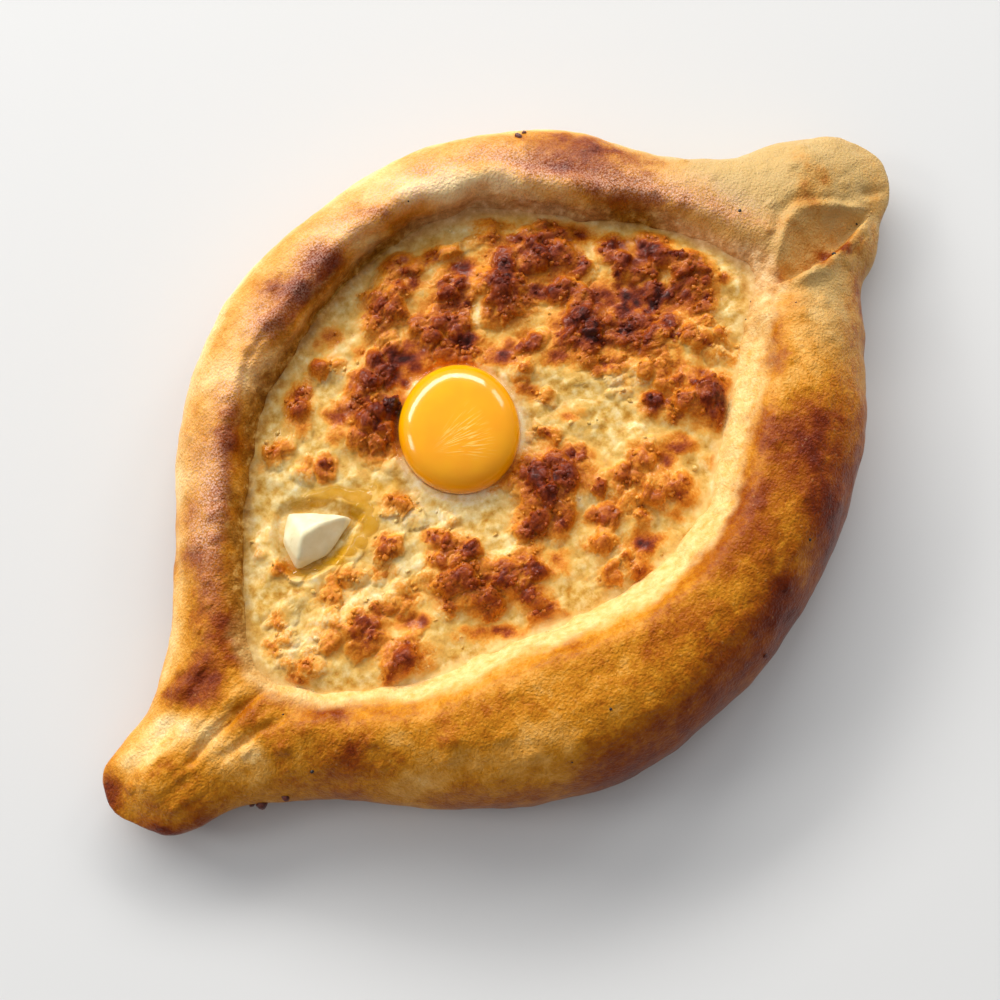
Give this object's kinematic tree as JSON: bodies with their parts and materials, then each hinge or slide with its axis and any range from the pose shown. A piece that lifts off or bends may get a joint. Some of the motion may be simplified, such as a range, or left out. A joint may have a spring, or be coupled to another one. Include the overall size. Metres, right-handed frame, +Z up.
{
  "type": "khachapuri",
  "caption": "Open boat-shaped cheese bread with a puffed golden rim, pinched ends, browned cheese filling, an egg yolk and a knob of butter.",
  "frame": {"origin": "on the table under the middle of the bread's bounding box", "axes": "+X along the boat towards its folded open end, +Y towards the narrower side of the rim, +Z up"},
  "size_m": [0.318, 0.2036, 0.0419],
  "materials": {
    "crust": "baked golden-brown dough with a thin oily sheen",
    "cheese": "melted cheese with browned curds, moist",
    "yolk": "wet and glossy",
    "butter": "smooth, slightly waxy"
  },
  "bodies": {
    "root": {"dough_crust": "crust", "cheese_filling": "cheese", "egg_yolk": "yolk", "butter_knob": "butter"}
  },
  "joints": []
}
